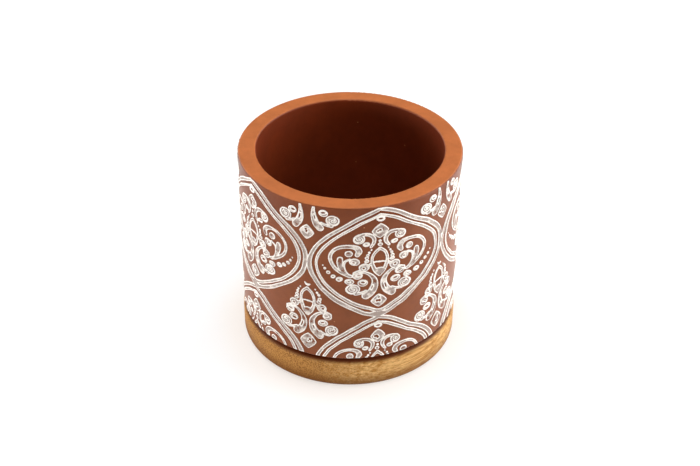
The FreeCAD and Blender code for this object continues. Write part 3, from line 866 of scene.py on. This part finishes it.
def makeSlip(name, wear):  # thick white lips along the edges, thin grey slip with bare patches between them
    material, tree, skin = shaderTree(name, slipLook)
    place = placeIn(tree)
    depth = put(tree, "ShaderNodeAttribute", attribute_name="slipDepth").outputs["Fac"]
    patches = noise(tree, place, slipLook["patchSize"], 3, 0.6)
    crumbs = noise(tree, place, slipLook["crumbSize"], 3, 0.6)
    wavy = calculate(tree, "ADD", depth, rescale(tree, crumbs, *slipLook["lipWaver"]))
    thick = calculate(tree, "MULTIPLY", rescale(tree, wavy, *slipLook["lipStart"], smooth=True),
                      rescale(tree, wavy, *slipLook["lipEnd"], smooth=True))
    worn = rescale(tree, patches, *slipLook[wear])
    worn = calculate(tree, "ADD", worn, rescale(tree, crumbs, *slipLook["crumbWear"]))
    worn = calculate(tree, "ADD", worn, rescale(tree, depth, *slipLook["wideWear"]))
    thin = ramp(tree, worn, [(stop, slipLook[tone]) for stop, tone in slipLook["wornTones"]])
    wire(tree, blendColours(tree, thick, thin, slipLook["white"]), skin.inputs["Base Color"])
    lips = bumpy(tree, thick, *slipLook["lips"])
    wire(tree, bumpy(tree, crumbs, *slipLook["crumbs"], lips), skin.inputs["Normal"])
    return material


motifSlip, bandSlip = makeSlip("slip", "motifWear"), makeSlip("bandSlip", "bandWear")
bandNodes = ["slip_cell_bands", "slip_inner_lines"]
motifNodes = sorted(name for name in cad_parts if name.startswith("slip_") and name not in bandNodes)


def finishSlip(piece, material, nodes):
    piece.data.materials.append(material)
    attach(piece, "pot")
    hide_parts(*nodes)


def outlines(field):  # its edges, the ridges inside them and the points between the ridges
    return contours(field, 0.0), contours(field, -relief["ridgeDepth"]), fillPoints(field)


def makeSlipPieces():
    motifs, bands = clipped(drawMotifs()), clipped(drawBands())
    edges, ridges, fill = outlines(motifs)
    owner = nearestMotif(fill[:, 0], fill[:, 1])
    for motif in range(4 * pattern["columns"]):
        row, half = divmod(motif, 2 * pattern["columns"])
        middle = motifMiddle(half)
        own = [[loop + (girth * round((middle - loop[:, 0].mean()) / girth), 0) for loop in loops
                if nearestMotif(*loop.mean(0)) == motif] for loops in (edges, ridges)]
        ownFill = fill[owner == motif]
        ownFill[:, 0] += girth * np.round((middle - ownFill[:, 0]) / girth)
        piece = buildRelief(f"slipMotif_{half}_{('upper', 'lower')[row]}", motifs, *own, ownFill)
        finishSlip(piece, motifSlip, motifNodes)
    piece = buildRelief("slipBands", bands, *outlines(bands), ring=True)
    finishSlip(piece, bandSlip, bandNodes)


makeSlipPieces()
print("slip made")


# Table, light and camera

tableLook = {
    "size": 6,
    "colour": (0.86, 0.86, 0.86),
    "roughness": 0.9,
    "specular": 0.5,
    "glow": 0.6,                     # share of plain white that the camera sees on the table near the pot
    "glowStrength": 1.13,
    "glowReach": (0.25, 0.7),        # metres from the pot over which the table turns plain white
    "paintedBounce": (1.0, 0.93, 0.875),    # painted warm bounce light from the saucer on the table right beside it
    "paintedBounceReach": (0.076, 0.108),   # metres from the axis over which that painted bounce light fades
}
studio = {
    "aim": (0, 0, 65 * mm),
    "lamps": {                  # place, size and watts
        "lampTop": ((0.0, 0.10, 1.25), (1.0, 0.8), 7.3),
        "lampTopFront": ((0.12, -0.60, 1.15), (1.0, 0.6), 4.2),
        "lampRight": ((0.95, 0.0, 0.45), (0.9, 0.7), 8.2),
        "lampRightBack": ((0.80, 0.65, 0.55), (0.8, 0.7), 4.4),
        "lampRightLow": ((1.0, -0.10, 0.18), (0.9, 0.3), 3.6),
        "lampLeftBack": ((-0.80, 0.65, 0.55), (0.8, 0.7), 6.3),
        "lampLeftLow": ((-1.0, -0.10, 0.18), (0.9, 0.3), 4.2),
        "lampLeftFrontLow": ((-0.85, -0.75, 0.15), (0.8, 0.24), 4.0),
    },
    "cameraPlace": (-0.35 * mm, -712.5 * mm, potHigh.z + 430.9 * mm),
    "cameraTurns": [(-0.06, "Z"), (90 - 35.17, "X"), (0.56, "Z")],     # degrees
    "lens": 64.13,
    "sensor": 36,
    "clip": (0.01, 50),
}


def makeTable():
    bpy.ops.mesh.primitive_plane_add(size=tableLook["size"])
    table = bpy.context.object
    table.name = "table"
    material, tree, skin = shaderTree("tableWhite", tableLook)
    skin.inputs["Base Color"].default_value = (*tableLook["colour"], 1)
    glow = put(tree, "ShaderNodeEmission", Strength=tableLook["glowStrength"])
    path = put(tree, "ShaderNodeLightPath")
    blend = put(tree, "ShaderNodeMixShader")
    distance = put(tree, "ShaderNodeVectorMath", operation="LENGTH")
    wire(tree, placeIn(tree), distance.inputs[0])
    fromPot = distance.outputs["Value"]
    # painted bounce light: the camera sees the table warmer right beside the saucer
    away = rescale(tree, fromPot, *tableLook["paintedBounceReach"], smooth=True)
    wire(tree, blendColours(tree, away, tableLook["paintedBounce"], (1, 1, 1)), glow.inputs["Color"])
    share = rescale(tree, fromPot, *tableLook["glowReach"], tableLook["glow"], 1.0, smooth=True)
    amount = calculate(tree, "MULTIPLY", path.outputs["Is Camera Ray"], share)
    wire(tree, amount, blend.inputs["Fac"], skin.outputs[0], blend.inputs[1],
         glow.outputs[0], blend.inputs[2], blend.outputs[0], tree.nodes["Material Output"].inputs["Surface"])
    table.data.materials.append(material)


def makeWorld():  # white for the camera alone, so the lamps do all the lighting
    world = bpy.data.worlds.new("studioWhite")
    bpy.context.scene.world = world
    world.use_nodes = True
    tree = world.node_tree
    path = put(tree, "ShaderNodeLightPath")
    wire(tree, path.outputs["Is Camera Ray"], tree.nodes["Background"].inputs["Strength"])
    tree.nodes["Background"].inputs["Color"].default_value = (1, 1, 1, 1)


def makeLamps():
    for name, (place, size, watts) in studio["lamps"].items():
        light = bpy.data.lights.new(name, "AREA")
        light.shape, light.size, light.size_y, light.energy = "RECTANGLE", size[0], size[1], watts
        lamp = bpy.data.objects.new(name, light)
        lamp.location = place
        lamp.rotation_euler = (Vector(studio["aim"]) - Vector(place)).to_track_quat("-Z", "Y").to_euler()
        bpy.context.scene.collection.objects.link(lamp)


def makeCamera():
    data = bpy.data.cameras.new("camera")
    data.lens, data.sensor_width = studio["lens"], studio["sensor"]
    data.clip_start, data.clip_end = studio["clip"]
    stand = Matrix.Translation(studio["cameraPlace"])
    for degrees, axis in studio["cameraTurns"]:
        stand = stand @ Matrix.Rotation(math.radians(degrees), 4, axis)
    camera = bpy.data.objects.new("camera", data)
    camera.matrix_world = stand
    bpy.context.scene.collection.objects.link(camera)
    bpy.context.scene.camera = camera


makeTable()
makeWorld()
makeLamps()
makeCamera()
bpy.context.scene.view_settings.view_transform = "Standard"
print("studio made")
